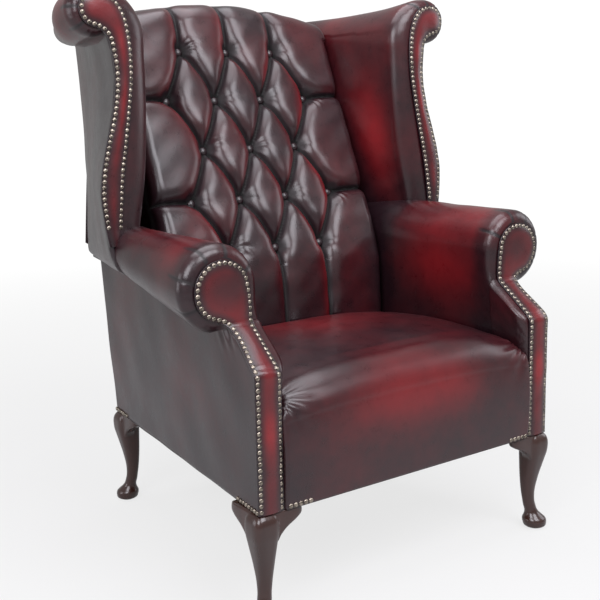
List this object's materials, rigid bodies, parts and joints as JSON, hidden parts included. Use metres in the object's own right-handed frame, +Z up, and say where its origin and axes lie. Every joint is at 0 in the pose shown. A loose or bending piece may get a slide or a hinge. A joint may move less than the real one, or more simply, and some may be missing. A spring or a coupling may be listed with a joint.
{
  "type": "wingback chair",
  "caption": "High-back wing chair in antique leather with scroll arms and wings, deep-buttoned back, sprung seat, close nailing and cabriole legs.",
  "frame": {"origin": "on the floor, in the middle of the chair's bounding box", "axes": "+Z up, the sitter faces -Y, +X to the right as drawn, so the wing at +X is the right one"},
  "size_m": [0.8786, 0.788, 1.069],
  "materials": {
    "oxblood_leather": "rub-off antique, semi-gloss",
    "outside_leather": "rub-off antique, semi-gloss",
    "dark_mahogany": "satin",
    "antique_brass": "aged",
    "beech": "matte",
    "foam": "matte",
    "hessian": "matte",
    "webbing": "matte",
    "black_lining": "matte",
    "spring_steel": "satin"
  },
  "bodies": {
    "root": {"back_buttons": "oxblood_leather", "back_cover": "oxblood_leather", "back_cross_webbing": "webbing", "back_pad": "foam", "back_upright_webbing": "webbing", "crest_rail": "beech", "dust_cover": "black_lining", "front_border_pad": "foam", "front_leg_ears": "dark_mahogany", "front_seat_rail": "beech", "left_arm_facing": "oxblood_leather", "left_arm_front_post": "beech", "left_arm_pad": "foam", "left_arm_rail": "beech", "left_arm_tacking_rail": "beech", "left_back_post": "beech", "left_front_corner_block": "beech", "left_front_leg": "dark_mahogany", "left_inside_arm_cover": "oxblood_leather", "left_outside_arm_panel": "outside_leather", "left_outside_wing_panel": "outside_leather", "left_rear_corner_block": "beech", "left_rear_leg": "dark_mahogany", "left_side_seat_rail": "beech", "left_wing_cover": "oxblood_leather", "left_wing_facing": "oxblood_leather", "left_wing_front_post": "beech", "left_wing_pad": "foam", "left_wing_top_rail": "beech", "lower_back_rail": "beech", "outside_back_panel": "outside_leather", "rear_leg_ears": "dark_mahogany", "rear_seat_rail": "beech", "right_arm_facing": "oxblood_leather", "right_arm_front_post": "beech", "right_arm_pad": "foam", "right_arm_rail": "beech", "right_arm_tacking_rail": "beech", "right_back_post": "beech", "right_front_corner_block": "beech", "right_front_leg": "dark_mahogany", "right_inside_arm_cover": "oxblood_leather", "right_outside_arm_panel": "outside_leather", "right_outside_wing_panel": "outside_leather", "right_rear_corner_block": "beech", "right_rear_leg": "dark_mahogany", "right_side_seat_rail": "beech", "right_wing_cover": "oxblood_leather", "right_wing_facing": "oxblood_leather", "right_wing_front_post": "beech", "right_wing_pad": "foam", "right_wing_top_rail": "beech", "seat_cover": "oxblood_leather", "seat_foam": "foam", "seat_hessian": "hessian", "seat_springs": "spring_steel", "spring_clips": "spring_steel"}
  },
  "joints": []
}
